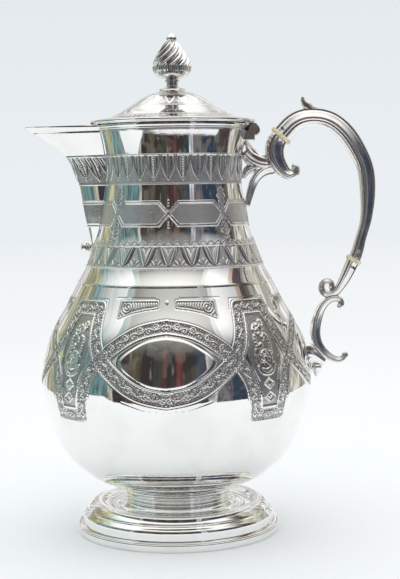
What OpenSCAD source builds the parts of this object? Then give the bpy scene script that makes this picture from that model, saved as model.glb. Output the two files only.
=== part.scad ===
/* [Sheet and wire] */
// Thickness of the spun sheet that the vessel is made of
wall = 1.2; // [0.9:0.1:1.6]
// Thickness of the ornamental bands laid round the neck
band_t = 0.6; // [0.4:0.1:0.8]

/* [Foot] */
// Outside radius of the base wire that the jug stands on
foot_r = 65; // [64:0.5:68]
// Height of the base wire
foot_wire_h = 6.4; // [5:0.2:6.4]
// Radius of the stem between the foot and the body
stem_r = 34.2; // [32:0.2:36]

/* [Lid and hinge] */
// Outside radius of the lid's moulded edge
lid_r = 52.8; // [52:0.1:53]
// Length of the middle knuckle, which belongs to the lid
lid_knuckle_len = 9; // [7:0.5:10]
// Radius of the hinge pin
pin_r = 1.4; // [1:0.1:1.6]
// Number of spiral flutes on the finial
flutes = 11; // [8:1:14]

/* [Handle] */
// Width of the handle tube across the jug, as a share of its depth
handle_aspect = 1.0; // [0.8:0.05:1.1]
// Radius of the pins that hold the handle to its insulators
rivet_r = 0.9; // [0.7:0.1:1.1]

/* [Spout] */
// Radius of the strainer holes behind the spout
strainer_r = 1.6; // [1.2:0.1:2]

/* [Hidden] */
$fn = 96;
running_gap = 0.05;
loose_gap = 0.3;

rim_z = 256.9;
rim_top = 261.5;
rim_r = 50.3;
mouth_r = 46.4;
seam_z = 161.4;

lid_z = rim_top + loose_gap;
bezel_r = 45;

hinge_x = 52.3;
hinge_z = 257.6;
knuckle_r = 3.4;
hinge_half = 11;

silver = [0.80, 0.80, 0.82];
bright = [0.88, 0.88, 0.90];
shade = [0.66, 0.65, 0.66];
ivory = [0.93, 0.90, 0.80];

// Outside of the vessel as [radius, height], from the top down
body_line = [
    [63.1, seam_z], [70.6, 147], [78.7, 132], [84.6, 113.5], [87, 97], [84.2, 81],
    [79, 64.8], [71.3, 50.9], [60.5, 40.6], [53, 35.6], [47, 34.6]
];
neck_line = [
    [48.6, 256.9], [46.9, 252], [44.8, 243.8], [43.6, 235], [43.6, 224], [45, 213.5],
    [46.6, 204], [49, 193], [52.4, 184], [57, 171.9], [63.1, seam_z]
];
stem_line = [
    [46.4, 34], [43, 31.2], [38.5, 29.4], [35, 27.6], [stem_r, 26], [stem_r, 20.2]
];
foot_line = [
    [33, 20.2], [35, 20], [36.6, 18], [39.5, 16.9], [44, 17], [47.6, 18.4], [49.4, 19.8],
    [52.5, 20.2], [56, 19], [59.2, 16], [61, 12], [62, foot_wire_h]
];
dome_line = [
    [1.7, 283.2], [8.2, 283], [13, 281.8], [19, 279.2], [24.6, 275.6], [31.5, 271.4],
    [38.6, 267.8], [46, 265.4], [50, lid_z + 2.6]
];

// Reach of the spout's nose from the axis, and its half width, by height
nose_reach = [
    [183, 53.6], [190.5, 54.4], [197.6, 56], [204, 57.4], [212, 58.8], [216.5, 59.6],
    [224, 60.8], [230, 63.2], [237, 65.6], [242.4, 69], [246, 73.2], [249.6, 78.5],
    [253.4, 83.8], [rim_z, 90.2], [rim_top, 96]
];
nose_half = [
    [183, 3.5], [190.5, 6.5], [204, 9], [224, 10.5], [243, 13.5], [rim_z, 20], [rim_top, 21]
];
spout_foot_z = 183;

upper_insulator_at = [69.1, 253.6];
lower_insulator_at = [114.8, 174];

// Middle line of each handle piece as [x, z], and its depth along the way
tube_mid = [
    upper_insulator_at, [70.9, 255.6], [76, 260.8], [82.8, 264.4], [90.2, 265.2], [98.4, 263.7],
    [106.5, 258.7], [113, 251.3], [118.4, 242.2], [122.2, 232.7], [124, 221.5], [123.9, 209],
    [122, 196.9], [119, 186.6], [116.1, 176.8], lower_insulator_at
];
tube_depth = [
    12.4, 12.2, 12, 11.5, 11.6, 11.5, 11.3, 11, 10.8, 10.6, 10, 8.7, 7.5, 6.9, 7.4, 8
];
upper_scroll_mid = [
    upper_insulator_at, [67.2, 251.5], [65, 246.4], [64.9, 241.5], [66.6, 236.6], [69.6, 232],
    [73.4, 229], [77, 229.6], [77.8, 232.6], [75.4, 233.6]
];
upper_scroll_depth = [12, 12, 12.3, 12.2, 11.2, 9.6, 8, 6.4, 5.4, 4.8];
lower_scroll_mid = [
    lower_insulator_at, [113.4, 171.2], [109.8, 163.6], [105.8, 156.6], [102.4, 152.8],
    [98.4, 151.8], [95, 153.8], [94.4, 157.6], [96.8, 160.2], [100, 159.4], [100.6, 156.8],
    [98.8, 156]
];
lower_scroll_depth = [8.8, 8.4, 7.6, 6.2, 4.8, 3.8, 3.4, 3, 2.8, 2.6, 2.6, 3];
c_scroll_mid = [
    [103.8, 144.4], [106.4, 145], [106.2, 147.8], [102, 149.3], [97.4, 147.2], [93, 141.2],
    [90.7, 134], [90, 126.2], [91.6, 120], [95.6, 114.4], [101, 110.6], [105.8, 109.8], [108.6, 112]
];
c_scroll_depth = [3.4, 3.2, 3.8, 4.6, 5.4, 6.2, 6.4, 6.4, 6.2, 5.8, 5, 3.8, 4];
leg_mid = [[64, 234], [58, 231.8], [53, 227.2], [49.6, 219.6], [47.4, 209.6]];
leg_depth = [9, 7.4, 5.8, 4.8, 3.6];
lobe_mid = [[61, 236], [56, 236.6], [51, 239], [46.8, 243.6]];
lobe_depth = [9, 10, 10, 7];

insulator_t = 2.6;
upper_rivets = [[69.8, 258.4], [62.6, 247.4]];
lower_rivets = [[118.9, 179.2], [115, 168.6]];

// ---- curves ----

function curve_at(a, b, c, d, t) =
    0.5 * (2 * b + (c - a) * t + (2 * a - 5 * b + 4 * c - d) * t * t
    + (3 * b - a - 3 * c + d) * t * t * t);

// A smooth curve through the points, with n steps between neighbours
function smooth(p, n = 5) = let (last = len(p) - 1) concat(
    [for (i = [0 : last - 1], k = [0 : n - 1])
        curve_at(p[max(i - 1, 0)], p[i], p[i + 1], p[min(i + 2, last)], k / n)],
    [p[last]]
);

// The same line moved by t to the side that faces the axis on a line drawn downwards
function inset(p, t) = [
    for (i = [0 : len(p) - 1])
        let (d = p[min(i + 1, len(p) - 1)] - p[max(i - 1, 0)])
        p[i] + t * [d[1], -d[0]] / norm(d)
];
function reversed(p) = [for (i = [len(p) - 1 : -1 : 0]) p[i]];

// The line carried straight on past both of its ends, to be cut off level
function run_on(p, extra = 3) = let (n = len(p)) concat(
    [p[0] + extra * (p[0] - p[1]) / norm(p[0] - p[1])],
    p,
    [p[n - 1] + extra * (p[n - 1] - p[n - 2]) / norm(p[n - 1] - p[n - 2])]
);
function sheet_outline(p, t) = concat(p, reversed(inset(p, t)));

// Radius of a line drawn downwards, at height z
function radius_at(line, z) = lookup(z, [for (q = smooth(line)) [q[1], q[0]]]);

// ---- building blocks ----

// A sheet spun to a line drawn downwards, with both edges cut level
module spun(line, t = wall) {
    low = line[len(line) - 1][1];
    rotate_extrude() intersection() {
        polygon(sheet_outline(run_on(smooth(line)), t));
        translate([0, low]) square([200, line[0][1] - low]);
    }
}

// Everything inside a line drawn downwards
module filled(line) {
    p = smooth(line);
    rotate_extrude() polygon(concat([[0, p[0][1]]], p, [[0, p[len(p) - 1][1]]]));
}

// A band of even thickness on the outside of the neck
module neck_ring(low, high, t) {
    steps = 8;
    heights = [for (i = [0 : steps]) high - (high - low) * i / steps];
    outside = [for (z = heights) [radius_at(neck_line, z) + t, z]];
    inside = [for (z = heights) [radius_at(neck_line, z) + 0.01, z]];
    slot = 1.1 * lookup(high, nose_half) + 0.3;
    difference() {
        rotate_extrude() polygon(concat(outside, reversed(inside)));
        translate([-2 * rim_r, -slot, low - 1]) cube([2 * rim_r, 2 * slot, high - low + 2]);
    }
}

// Faces of the wall through equal rings of n points, which run anticlockwise seen from the last
function wall_faces(ring_count, n) = [
    for (i = [0 : ring_count - 2], k = [0 : n - 1])
        let (m = (k + 1) % n)
        each [[i * n + k, (i + 1) * n + k, (i + 1) * n + m], [i * n + k, (i + 1) * n + m, i * n + m]]
];

module loft(rings) {
    n = len(rings[0]);
    first_end = [[for (k = [0 : n - 1]) k]];
    last_end = [[for (k = [n - 1 : -1 : 0]) (len(rings) - 1) * n + k]];
    polyhedron([for (ring = rings) each ring], concat(wall_faces(len(rings), n), first_end, last_end));
}

// A bar swept along a middle line in the XZ plane, with an oval section
module swept(mid, depth, aspect = 1, sides = 14, n = 4) {
    path = smooth(mid, n);
    depths = smooth([for (d = depth) [d, 0]], n);
    last = len(path) - 1;
    loft([
        for (i = [0 : last])
            let (d = path[min(i + 1, last)] - path[max(i - 1, 0)], u = [d[1], -d[0]] / norm(d))
            [for (k = [0 : sides - 1])
                let (a = 360 * k / sides, h = depths[i][0] / 2, q = path[i] + u * h * cos(a))
                [q[0], h * aspect * sin(a), q[1]]]
    ]);
}

// A pin along Y at [x, z]
module cross_pin(at, r, half) {
    translate([at[0], half, at[1]]) rotate([90, 0, 0]) cylinder(r = r, h = 2 * half);
}

// One side of the spout's wall at height z, moved inwards by g, from the neck round the nose
function spout_side(z, g) = let (
    m = 12, neck_r = radius_at(neck_line, z), start = 42,
    nose = lookup(z, nose_reach) - g, half = lookup(z, nose_half) - g,
    shown = g == 0 ? 1 : 0.3
) [
    for (i = [-m : m])
        let (
            t = 1 - abs(i) / m,
            q = [-start - (nose - start) * (1 - pow(1 - t, 1.5)), -sign(i) * half * pow(1 - t, 0.9)]
        )
        q * max(1, (neck_r + shown) / norm(q))
];

// ---- foot ----

module base_wire() color(silver) rotate_extrude() polygon(concat(
    [[foot_r - 5.5, 0], [foot_r - 0.7, 0]],
    [for (a = [-60 : 20 : 60]) [foot_r - 1.4 + 1.4 * cos(a), foot_wire_h / 2 + 2.9 * sin(a)]],
    [[foot_r - 2.6, foot_wire_h], [foot_r - 5.5, foot_wire_h]]
));

module foot() color(silver) spun(foot_line);

module foot_stem() color(silver) {
    spun(stem_line);
    for (z = [21.2, 23.4, 25.6])
        translate([0, 0, z]) rotate_extrude() translate([stem_r + 0.1, 0]) circle(r = 0.9, $fn = 24);
}

// ---- vessel ----

module body() color(bright) {
    base = body_line[len(body_line) - 1];
    spun(body_line);
    translate([0, 0, base[1] - 0.6]) cylinder(r = base[0], h = wall + 0.6);
}

// The wall behind the spout is pierced to hold back ice and fruit
module neck() color(bright) difference() {
    spun(neck_line);
    for (z = [198 : 7 : 247], y = [-5 : 5 : 5])
        translate([-60, y, z]) rotate([0, 90, 0]) cylinder(r = strainer_r, h = 30, $fn = 32);
}

module rim_moulding() color(silver) difference() {
    union() {
        for (step = [[0, 1.6, -1.6], [1.6, 3.2, -0.8], [3.2, rim_top - rim_z, 0]])
            translate([0, 0, rim_z + step[0]]) linear_extrude(step[1] - step[0]) difference() {
                union() {
                    circle(r = rim_r + step[2] / 2);
                    polygon(spout_side(rim_z + step[0], -0.6));
                }
                circle(r = mouth_r);
                difference() {
                    polygon(spout_side(rim_z, 2.4 * wall));
                    circle(r = rim_r - 1.4);
                }
            }
    }
    hinge_notch();
}

module hinge_notch() {
    clear = lid_knuckle_len / 2 + loose_gap;
    cross_pin([hinge_x, hinge_z], knuckle_r + 0.5, clear);
    translate([hinge_x - knuckle_r - 0.5, -clear, hinge_z]) cube([8, 2 * clear, 8]);
}

// A V of sheet, open at the top and towards the neck
module spout() color(bright) {
    heights = [for (z = [spout_foot_z : 4 : rim_z - 2]) z, rim_z];
    rings = [for (z = heights) concat(spout_side(z, 0), reversed(spout_side(z, wall)))];
    count = len(rings[0]);
    last = len(rings) - 1;
    points = [for (i = [0 : last], q = rings[i]) [q[0], q[1], heights[i]]];
    ends = [
        for (k = [0 : count / 2 - 2])
            let (a = k, b = k + 1, c = count - 2 - k, d = count - 1 - k, up = last * count)
            each [[a, b, c], [a, c, d], [up + a, up + c, up + b], [up + a, up + d, up + c]]
    ];
    polyhedron(points, concat(wall_faces(len(rings), count), ends));
}

module spout_drop() color(silver) translate([-57.4, 0, 183.8]) sphere(r = 3.6, $fn = 48);

module upper_leaf_band() color(silver) neck_ring(223.8, 242.6, band_t);

module strap_band() color(shade) {
    neck_ring(198.9, 210.4, 2 * band_t);
    neck_ring(196.6, 198.9, band_t);
    neck_ring(210.4, 212.6, band_t);
}

module lower_leaf_band() color(silver) neck_ring(171.9, 188.4, band_t);

// ---- hinge ----

module hinge_bracket() color(silver) difference() {
    half = lid_knuckle_len / 2 + loose_gap;
    foot_z = hinge_z - knuckle_r - 2.8;
    union() {
        for (side = [-1, 1]) to_side(side) {
            translate([0, hinge_half, 0]) rotate([90, 0, 0]) translate([hinge_x, hinge_z, 0])
                cylinder(r = knuckle_r, h = hinge_half - half, $fn = 48);
            translate([hinge_x - 7, half, foot_z])
                cube([7, hinge_half - half, hinge_z + 1.5 - foot_z]);
        }
        translate([hinge_x - 7, -hinge_half, foot_z]) cube([6.2, 2 * hinge_half, 2.5]);
    }
    cross_pin([hinge_x, hinge_z], pin_r + 0.02, 20);
    filled(neck_line);
    translate([0, 0, rim_z - 0.1]) cylinder(r = rim_r + 0.01, h = 10);
}
module to_side(side) {
    if (side > 0) children();
    else mirror([0, 1, 0]) children();
}

module hinge_pin() color(silver) {
    cross_pin([hinge_x, hinge_z], pin_r, hinge_half + 0.2);
    for (side = [-1, 1]) to_side(side)
        translate([hinge_x, hinge_half + 1.2, hinge_z]) rotate([90, 0, 0])
            cylinder(r = pin_r + 0.8, h = 1.15, $fn = 32);
}

// ---- handle ----

module insulator_disc(at, angle, length, width, thick, grow = 0) {
    translate([at[0], 0, at[1]]) rotate([0, angle, 0])
        translate([0, 0, -thick / 2 - grow]) linear_extrude(thick + 2 * grow) polygon([
            for (a = [0 : 12 : 348]) [(length / 2 + grow) * cos(a), (width / 2 + grow) * sin(a)]
        ]);
}
module upper_disc(grow = 0) insulator_disc(upper_insulator_at, 42, 15, 14, insulator_t, grow);
module lower_disc(grow = 0) insulator_disc(lower_insulator_at, 31, 10.4, 10, insulator_t, grow);
module rivets(places, grow = 0) {
    for (at = places) cross_pin(at, rivet_r + grow, 5.2);
}

module neck_envelope() {
    filled(neck_line);
    rotate_extrude() polygon(concat([[0, 243]], [
        for (z = [243 : -5 : 188]) [radius_at(neck_line, z) + band_t + 0.02, z]
    ], [[0, 188]]));
}

module tube_shape() swept(tube_mid, tube_depth, handle_aspect, 18);
module upper_scroll_shape() swept(upper_scroll_mid, upper_scroll_depth, handle_aspect);
module lower_scroll_shape() swept(lower_scroll_mid, lower_scroll_depth, handle_aspect);
module c_scroll_shape() swept(c_scroll_mid, c_scroll_depth, handle_aspect);

module handle_tube() color(shade) difference() {
    tube_shape();
    upper_disc(0.01);
    lower_disc(0.01);
    rivets([upper_rivets[0], lower_rivets[0]], 0.02);
}

module upper_scroll() color(shade) difference() {
    upper_scroll_shape();
    upper_disc(0.01);
    rivets([upper_rivets[1]], 0.02);
}

module upper_bracket() color(shade) difference() {
    union() {
        swept(leg_mid, leg_depth, 1);
        swept(lobe_mid, lobe_depth, 1.2);
    }
    neck_envelope();
    upper_scroll_shape();
}

module upper_insulator() color(ivory) upper_disc();
module lower_insulator() color(ivory) lower_disc();

module lower_scroll() color(shade) difference() {
    lower_scroll_shape();
    lower_disc(0.01);
    rivets([lower_rivets[1]], 0.02);
}

module c_scroll() color(shade) difference() {
    c_scroll_shape();
    lower_scroll_shape();
}

module escutcheon() color(silver) intersection() {
    rotate_extrude() polygon(concat(
        [for (z = [133 : -2 : 97]) [radius_at(body_line, z) + 1.1, z]],
        [for (z = [97 : 2 : 133]) [radius_at(body_line, z) + 0.04, z]]
    ));
    translate([60, 0, 115]) rotate([0, 90, 0]) linear_extrude(40) polygon([
        for (a = [0 : 10 : 350]) [17 * cos(a), 9 * sin(a) * abs(sin(a))]
    ]);
}

module lower_mount() color(shade) difference() {
    union() {
        translate([0, 4.5, 0]) rotate([90, 0, 0]) linear_extrude(9) polygon([
            [78, 122.5], [87, 122.5], [88, 119.2], [91, 114.8], [96, 110.4], [96.4, 107.6],
            [93, 105.6], [80, 104]
        ]);
        translate([90.4, 0, 98.6]) cylinder(r1 = 0.6, r2 = 2, h = 7, $fn = 32);
    }
    rotate_extrude() polygon([
        [0, 133], for (z = [133 : -2 : 97]) [radius_at(body_line, z) + 1.11, z], [0, 97]
    ]);
}

module thumb_leaf() color(shade) translate([0, 2.5, 0]) rotate([90, 0, 0])
    linear_extrude(5) polygon([
        [81.6, 270.1], [82.4, 274.6], [83, 278.8], [84.6, 277], [87, 274.4], [90.8, 272.4],
        [92.6, 270.95], [89, 271.1], [85, 270.8]
    ]);

module upper_rivets() color(silver) rivets(upper_rivets);
module lower_rivets() color(silver) rivets(lower_rivets);

// ---- lid ----

module lid_dome() color(bright) difference() {
    rotate_extrude() polygon(sheet_outline(smooth(dome_line), wall));
    cylinder(r = 1.75, h = 400, $fn = 32);
}

module lid_edge() color(silver) rotate_extrude() polygon([
    [bezel_r, lid_z], [lid_r - 0.9, lid_z], [lid_r, lid_z + 0.8], [lid_r - 0.3, lid_z + 1.9],
    [lid_r - 1.4, lid_z + 2.6], [50.02, lid_z + 2.6], [49.74, lid_z + 1.4], [bezel_r, lid_z + 1.3]
]);

module lid_bezel() color(silver) rotate_extrude() polygon([
    [bezel_r - wall, lid_z + 2.2], [bezel_r - wall, lid_z - 6], [bezel_r - 0.5, lid_z - 6],
    [bezel_r - 0.01, lid_z - 5], [bezel_r - 0.01, lid_z + 2.2]
]);

module lid_hinge_leaf() color(silver) difference() {
    union() {
        cross_pin([hinge_x, hinge_z], knuckle_r, lid_knuckle_len / 2);
        translate([hinge_x - knuckle_r, -lid_knuckle_len / 2, hinge_z])
            cube([knuckle_r * 1.4, lid_knuckle_len, lid_z - hinge_z - 0.01]);
    }
    cross_pin([hinge_x, hinge_z], pin_r + running_gap, 20);
}

// ---- finial ----

module bored() difference() {
    children();
    cylinder(r = 1.75, h = 400, $fn = 32);
}

module finial_base() color(silver) bored() rotate_extrude() polygon([
    [0, 283.25], [8, 283.25], [8.6, 283.8], [8, 284.3], [5, 285], [3.7, 286.4], [3.6, 287.6],
    [4.6, 288.8], [4.8, 289.6], [4.4, 290.5], [0, 290.5]
]);

module finial_calyx() color(silver) bored() rotate_extrude() polygon(concat(
    [[0, 290.6]], smooth([[4.6, 290.6], [9.4, 292], [12, 294.6], [12.9, 298.6]], 4), [[0, 298.6]]
));

module finial_flame() color(bright) {
    profile = smooth([
        [12.2, 298.7], [11.2, 301.6], [8.3, 305.2], [5.6, 308.4], [4.1, 311.8], [2.6, 314.2]
    ], 2);
    turns = [for (q = profile) 6 * (q[1] - 298.7)];
    n = flutes * 5;
    difference() {
        loft([
            for (i = [0 : len(profile) - 1])
                [for (k = [0 : n - 1])
                    let (a = 360 * k / n, r = profile[i][0] * (0.95 + 0.05 * cos(flutes * a)))
                    [r * cos(a + turns[i]), r * sin(a + turns[i]), profile[i][1]]]
        ]);
        cylinder(r = 1.75, h = 306, $fn = 32);
    }
}

module finial_tip() color(silver) rotate_extrude() polygon(concat(
    [[0, 314.25], [2.6, 314.25]],
    smooth([[3.4, 315.2], [3.5, 316.4], [2.6, 318], [1.3, 319.2], [0, 320]], 4)
));

module finial_stud() color(silver) translate([0, 0, 277.4]) cylinder(r = 1.7, h = 28, $fn = 32);

module finial_washer() color(silver) translate([0, 0, 281]) difference() {
    cylinder(r = 5, h = 0.8, $fn = 48);
    translate([0, 0, -1]) cylinder(r = 1.75, h = 3, $fn = 32);
}

module finial_nut() color(silver) translate([0, 0, 278.2]) difference() {
    cylinder(r = 3.8, h = 2.8, $fn = 6);
    translate([0, 0, -1]) cylinder(r = 1.75, h = 5, $fn = 32);
}

base_wire();
foot();
foot_stem();
body();
neck();
rim_moulding();
spout();
spout_drop();
upper_leaf_band();
strap_band();
lower_leaf_band();
hinge_bracket();
hinge_pin();
upper_bracket();
upper_scroll();
upper_insulator();
handle_tube();
thumb_leaf();
lower_insulator();
lower_scroll();
c_scroll();
lower_mount();
escutcheon();
upper_rivets();
lower_rivets();
lid_dome();
lid_edge();
lid_bezel();
lid_hinge_leaf();
finial_base();
finial_calyx();
finial_flame();
finial_tip();
finial_stud();
finial_washer();
finial_nut();
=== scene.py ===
"""A silver water pitcher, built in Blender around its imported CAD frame.

All lengths below are in millimetres and become metres where a mesh is made.
"""
import math

import bmesh
import bpy
import numpy as np
from mathutils import Matrix, Vector


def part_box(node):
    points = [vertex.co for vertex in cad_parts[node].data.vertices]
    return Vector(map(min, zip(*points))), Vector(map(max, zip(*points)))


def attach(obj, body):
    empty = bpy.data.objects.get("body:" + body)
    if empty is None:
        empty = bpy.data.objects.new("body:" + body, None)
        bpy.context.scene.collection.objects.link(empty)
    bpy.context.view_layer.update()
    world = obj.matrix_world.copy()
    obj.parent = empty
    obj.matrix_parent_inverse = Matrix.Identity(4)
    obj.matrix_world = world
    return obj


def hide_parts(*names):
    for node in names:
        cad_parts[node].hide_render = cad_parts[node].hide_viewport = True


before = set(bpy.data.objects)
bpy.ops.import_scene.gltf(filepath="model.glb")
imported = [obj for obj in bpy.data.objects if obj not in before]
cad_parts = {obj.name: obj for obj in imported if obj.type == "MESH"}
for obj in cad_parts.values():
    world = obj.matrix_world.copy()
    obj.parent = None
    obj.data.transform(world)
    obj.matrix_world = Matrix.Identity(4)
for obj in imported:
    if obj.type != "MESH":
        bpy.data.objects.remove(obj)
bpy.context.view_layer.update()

MM = 0.001
TAU = 2 * math.pi
WALL = 1.2               # the thickness of every sheet
rng = np.random.default_rng(7)


# ---------------------------------------------------------------- curves

def spline(points, count):
    """A natural cubic spline through the points, as count samples."""
    p = np.asarray(points, float)
    gaps = np.linalg.norm(np.diff(p, axis=0), axis=1)
    t = np.concatenate([[0], np.cumsum(gaps)])
    n = len(p)
    system = np.zeros((n, n))
    right = np.zeros_like(p)
    system[0, 0] = system[-1, -1] = 1
    for i in range(1, n - 1):
        a, b = gaps[i - 1], gaps[i]
        system[i, i - 1:i + 2] = a, 2 * (a + b), b
        right[i] = 6 * ((p[i + 1] - p[i]) / b - (p[i] - p[i - 1]) / a)
    bend = np.linalg.solve(system, right)
    s = np.linspace(0, t[-1], count)
    k = np.clip(np.searchsorted(t, s, side="right") - 1, 0, n - 2)
    h = gaps[k][:, None]
    u = (s - t[k])[:, None]
    w = h - u
    return (bend[k] * w ** 3 + bend[k + 1] * u ** 3) / (6 * h) \
        + (p[k] / h - bend[k] * h / 6) * w + (p[k + 1] / h - bend[k + 1] * h / 6) * u


def polyline(points, step):
    """Straight stretches through the points, with samples about step apart."""
    p = np.asarray(points, float)
    out = [p[:1]]
    for a, b in zip(p[:-1], p[1:]):
        n = max(1, int(round(np.linalg.norm(b - a) / step)))
        out.append(a + (b - a) * np.linspace(0, 1, n + 1)[1:, None])
    return np.concatenate(out)


def normals_2d(line):
    """Outward normals of a line of [radius, height] drawn downwards."""
    d = np.gradient(line, axis=0)
    d /= np.linalg.norm(d, axis=1)[:, None] + 1e-12
    return np.stack([-d[:, 1], d[:, 0]], 1)


def smoothstep(low, high, x):
    t = np.clip((x - low) / (high - low), 0, 1)
    return t * t * (3 - 2 * t)


def ridge(distance, width):
    """A round-backed ridge, 1 along its middle and 0 beyond its width."""
    return np.sqrt(np.clip(1 - (distance / width) ** 2, 0, 1))


def groove(distance, width):
    """A soft groove or bead, 1 along its middle."""
    return np.exp(-(distance / width) ** 2)


def nearest_on(x, y, points):
    """How far each place is from a drawn line, on which side, and where the nearest point is.

    side is 1 on the left of the line and -1 on its right. where counts the line's points from 0.
    """
    place = np.stack([x.ravel(), y.ravel()], 1)
    best = np.full(len(place), 1e9)
    side = np.zeros(len(place))
    where = np.zeros(len(place))
    for i, (a, b) in enumerate(zip(points[:-1], points[1:])):
        d = b - a
        t = np.clip((place - a) @ d / (d @ d + 1e-12), 0, 1)
        off = place - a - t[:, None] * d
        gap = np.linalg.norm(off, axis=1)
        near = gap < best
        best[near] = gap[near]
        side[near] = np.sign(d[0] * off[near, 1] - d[1] * off[near, 0])
        where[near] = i + t[near]
    return (values.reshape(x.shape) for values in (best, side, where))


def distance_to(x, y, points):
    """Distance from each place to a drawn line, and the share of the way along it."""
    points = np.asarray(points, float)
    best, _, where = nearest_on(x, y, points)
    return best, where / (len(points) - 1)


def strip_coordinates(x, y, points):
    """Offset to the left of a drawn line, and the distance run along it, for each place."""
    best, side, where = nearest_on(x, y, points)
    run = np.concatenate([[0], np.cumsum(np.linalg.norm(np.diff(points, axis=0), axis=1))])
    return best * side, np.interp(where, np.arange(len(points)), run)


def spiral(centre, start_angle, turns, outer, inner, count=26):
    """A volute that winds in from its outer radius."""
    t = np.linspace(0, 1, count)
    a = np.radians(start_angle) + TAU * turns * t
    r = outer + (inner - outer) * t
    return np.stack([centre[0] + r * np.cos(a), centre[1] + r * np.sin(a)], 1)


# ---------------------------------------------------------------- meshes

def mesh_object(name, verts, faces, marks=None, normals=None):
    """A smooth-shaded mesh from places in millimetres, with a value per place for each mark."""
    mesh = bpy.data.meshes.new(name)
    verts = np.asarray(verts, float) * MM
    if isinstance(faces, np.ndarray):
        mesh.vertices.add(len(verts))
        mesh.vertices.foreach_set("co", verts.ravel())
        mesh.loops.add(faces.size)
        mesh.loops.foreach_set("vertex_index", faces.ravel())
        mesh.polygons.add(len(faces))
        mesh.polygons.foreach_set("loop_start", np.arange(0, faces.size, faces.shape[1]))
        mesh.update(calc_edges=True)
    else:
        mesh.from_pydata(verts.tolist(), [], faces)
    mesh.polygons.foreach_set("use_smooth", [True] * len(mesh.polygons))
    for key, values in (marks or {}).items():
        layer = mesh.attributes.new(key, "FLOAT", "POINT")
        layer.data.foreach_set("value", np.asarray(values, np.float32).ravel())
    mesh.update()
    if normals is not None:
        mesh.normals_split_custom_set_from_vertices(normals.tolist())
    obj = bpy.data.objects.new(name, mesh)
    bpy.context.scene.collection.objects.link(obj)
    return obj


def grid_faces(rows, cols, close_rows, close_cols):
    """Four-sided faces between the places of a grid, which may close on itself either way."""
    r = np.arange(rows if close_rows else rows - 1)
    c = np.arange(cols if close_cols else cols - 1)
    r, c = np.meshgrid(r, c, indexing="ij")
    r1, c1 = (r + 1) % rows, (c + 1) % cols
    return np.stack([r * cols + c, r1 * cols + c, r1 * cols + c1, r * cols + c1], -1).reshape(-1, 4)


def grid_normals(p, close_cols):
    """Normals of a grid of points, for rows drawn downwards and columns anticlockwise from above."""
    if close_cols:
        across = np.roll(p, -1, 1) - np.roll(p, 1, 1)
    else:
        across = np.gradient(p, axis=1)
    down = np.gradient(p, axis=0)
    n = np.cross(down, across)
    return n / (np.linalg.norm(n, axis=2, keepdims=True) + 1e-12)


def column_angles(cols):
    """Angles of a turned piece's columns: the first faces the front, and they go round by +X."""
    return -math.pi / 2 + TAU * np.arange(cols) / cols


def turned_points(line, height, angles):
    """Places on a turned surface, each raised along its normal."""
    n = normals_2d(line)
    r = line[:, :1] + n[:, :1] * height
    z = line[:, 1:] + n[:, 1:] * height
    z = z + np.zeros(len(angles))
    return np.stack([r * np.cos(angles), r * np.sin(angles), z], -1)


def turned(name, line, cols, relief=None, matting=None, wall=WALL, split=1):
    """A sheet turned about the axis from a line drawn downwards, closed by its inner side.

    relief is the height in millimetres of each place, as rows by columns, and matting how dark
    each place is. split cuts the sheet into that many pieces.
    """
    angles = column_angles(cols)
    height = np.zeros((len(line), cols)) if relief is None else relief
    outer = turned_points(line, height, angles)
    normals = grid_normals(outer, True)
    out = normals_2d(line)
    pieces = []
    cuts = np.linspace(0, len(line) - 1, split + 1).round().astype(int)
    for k in range(split):
        part = slice(cuts[k], cuts[k + 1] + 1)
        count = cuts[k + 1] + 1 - cuts[k]
        back = np.unique(np.linspace(0, count - 1, max(3, count // 5)).astype(int))[::-1]
        inner = turned_points((line - out * wall)[part][back], np.zeros((len(back), 1)), angles)
        inward = -out[part][back]
        inner_normals = np.stack([
            inward[:, :1] * np.cos(angles), inward[:, :1] * np.sin(angles),
            np.repeat(inward[:, 1:], cols, 1)], -1)
        grid = np.concatenate([outer[part], inner])
        marks = {}
        if matting is not None:
            marks["matting"] = np.concatenate([matting[part], np.zeros((len(inner), cols))])
        pieces.append(mesh_object(
            name if split == 1 else f"{name}_{k + 1}", grid.reshape(-1, 3),
            grid_faces(len(grid), cols, True, True), marks,
            np.concatenate([normals[part], inner_normals]).reshape(-1, 3)))
    return pieces


def lathe(name, loop, cols=384, sharp=40, relief=0.0):
    """A ring turned from a closed loop of [radius, height], drawn clockwise."""
    loop = np.asarray(loop, float)
    angles = column_angles(cols)
    r = loop[:, :1] + relief
    p = np.stack([r * np.cos(angles), r * np.sin(angles), np.repeat(loop[:, 1:], cols, 1)], -1)
    piece = mesh_object(name, p.reshape(-1, 3), grid_faces(len(loop), cols, True, True))
    piece.data.set_sharp_from_angle(angle=math.radians(sharp))
    return piece


def bead(r, z, size, steps=9):
    """The outer half of a round bead, from its top down."""
    a = np.radians(np.linspace(80, -80, steps))
    return np.stack([r + size * np.cos(a), z + size * np.sin(a)], 1)


def turn_outward(piece):
    """Turns a closed mesh's faces outwards."""
    work = bmesh.new()
    work.from_mesh(piece.data)
    bmesh.ops.recalc_face_normals(work, faces=work.faces)
    work.to_mesh(piece.data)
    work.free()


# ---------------------------------------------------------------- outlines

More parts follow.
